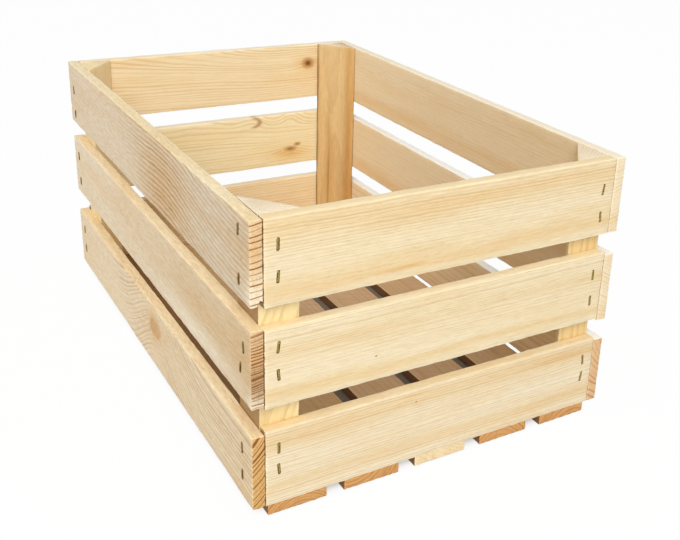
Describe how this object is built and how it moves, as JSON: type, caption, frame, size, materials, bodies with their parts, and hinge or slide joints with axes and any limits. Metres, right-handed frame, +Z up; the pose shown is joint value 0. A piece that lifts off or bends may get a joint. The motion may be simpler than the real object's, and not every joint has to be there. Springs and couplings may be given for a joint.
{
  "type": "slatted crate",
  "caption": "Open-topped slatted pine crate: sawn slats stapled to triangular corner posts over a slatted floor, for carrying, storing or displaying goods.",
  "frame": {"origin": "on the ground, under the middle of the crate", "axes": "+X to the right across the crate, +Y along it from the front end to the back end, +Z up"},
  "size_m": [0.4, 0.6, 0.29],
  "materials": {
    "end_pine": "sawn pale pine, untreated, cream with straw grain lines",
    "side_pine": "sawn pine, untreated, beige with raised grain",
    "post_pine": "sawn pine, untreated, warm yellow",
    "floor_pine": "rough sawn pine, untreated, tan",
    "staple_wire": "steel wire with a golden lacquer"
  },
  "bodies": {
    "root": {"left_slat_bottom": "side_pine", "left_slat_middle": "side_pine", "left_slat_top": "side_pine", "right_slat_bottom": "side_pine", "right_slat_middle": "side_pine", "right_slat_top": "side_pine", "front_slat_bottom": "end_pine", "front_slat_middle": "end_pine", "front_slat_top": "end_pine", "back_slat_bottom": "end_pine", "back_slat_middle": "end_pine", "back_slat_top": "end_pine", "front_left_post": "post_pine", "front_right_post": "post_pine", "back_left_post": "post_pine", "back_right_post": "post_pine", "floor_slat_1": "floor_pine", "floor_slat_2": "floor_pine", "floor_slat_3": "floor_pine", "floor_slat_4": "floor_pine", "floor_slat_5": "floor_pine", "front_staple_bottom_left": "staple_wire", "front_staple_bottom_right": "staple_wire", "front_staple_middle_left": "staple_wire", "front_staple_middle_right": "staple_wire", "front_staple_top_left": "staple_wire", "front_staple_top_right": "staple_wire", "back_staple_bottom_left": "staple_wire", "back_staple_bottom_right": "staple_wire", "back_staple_middle_left": "staple_wire", "back_staple_middle_right": "staple_wire", "back_staple_top_left": "staple_wire", "back_staple_top_right": "staple_wire", "left_staple_bottom_front": "staple_wire", "left_staple_bottom_back": "staple_wire", "left_staple_middle_front": "staple_wire", "left_staple_middle_back": "staple_wire", "left_staple_top_front": "staple_wire", "left_staple_top_back": "staple_wire", "right_staple_bottom_front": "staple_wire", "right_staple_bottom_back": "staple_wire", "right_staple_middle_front": "staple_wire", "right_staple_middle_back": "staple_wire", "right_staple_top_front": "staple_wire", "right_staple_top_back": "staple_wire", "floor_staple_1_front": "staple_wire", "floor_staple_1_back": "staple_wire", "floor_staple_2_front": "staple_wire", "floor_staple_2_back": "staple_wire", "floor_staple_3_front": "staple_wire", "floor_staple_3_back": "staple_wire", "floor_staple_4_front": "staple_wire", "floor_staple_4_back": "staple_wire", "floor_staple_5_front": "staple_wire", "floor_staple_5_back": "staple_wire"}
  },
  "joints": []
}
